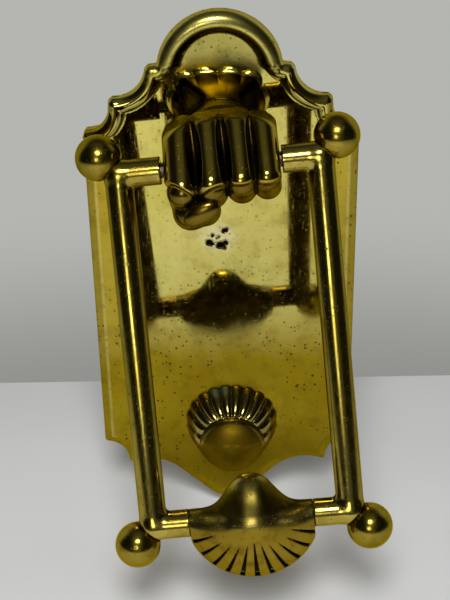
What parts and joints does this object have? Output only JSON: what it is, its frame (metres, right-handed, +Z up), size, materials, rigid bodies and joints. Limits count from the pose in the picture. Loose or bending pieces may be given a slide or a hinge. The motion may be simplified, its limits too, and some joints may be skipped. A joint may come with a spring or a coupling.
{
  "type": "door knocker",
  "caption": "Brass door knocker: a left fist in a scalloped cuff grips the pin of a rectangular swinging bail whose shell striker falls on a ribbed shell pad of a long backplate.",
  "frame": {"origin": "middle of the backplate's back rib, on the flat back face that lies on the door", "axes": "+Z up the door, +Y from the front into the door along the back face's outward normal, +X to the viewer's right"},
  "size_m": [0.1029, 0.0954, 0.1993],
  "materials": {
    "plate_brass": "polished cast brass with dark specks and a mellow tarnish",
    "hand_brass": "polished cast brass with black tarnish in the grooves",
    "bail_brass": "worn brass, scratched and pitted, bright on the crowns",
    "fixing_brass": "machined brass, dull",
    "pin_steel": "plain turned steel"
  },
  "bodies": {
    "mounting": {"backplate": "plate_brass", "strike_pad": "plate_brass", "cuff": "hand_brass", "hand": "hand_brass", "hand_stud": "fixing_brass", "hand_washer": "fixing_brass", "hand_nut": "fixing_brass", "pad_stud": "fixing_brass", "pad_washer": "fixing_brass", "pad_nut": "fixing_brass"},
    "bail": {"pivot_pin": "pin_steel", "top_stub_left": "bail_brass", "top_stub_right": "bail_brass", "side_rod_left": "bail_brass", "side_rod_right": "bail_brass", "bottom_bar_left": "bail_brass", "bottom_bar_right": "bail_brass", "striker_shell": "bail_brass", "ball_top_left": "bail_brass", "ball_top_right": "bail_brass", "ball_bottom_left": "bail_brass", "ball_bottom_right": "bail_brass"}
  },
  "joints": [
    {"name": "bail_swing", "type": "hinge", "parent": "mounting", "child": "bail", "pos_m": [0, -0.0378, 0.057], "axis": [-0.9965, 0, -0.0833], "range_deg": [-23.5, 168.5]}
  ]
}
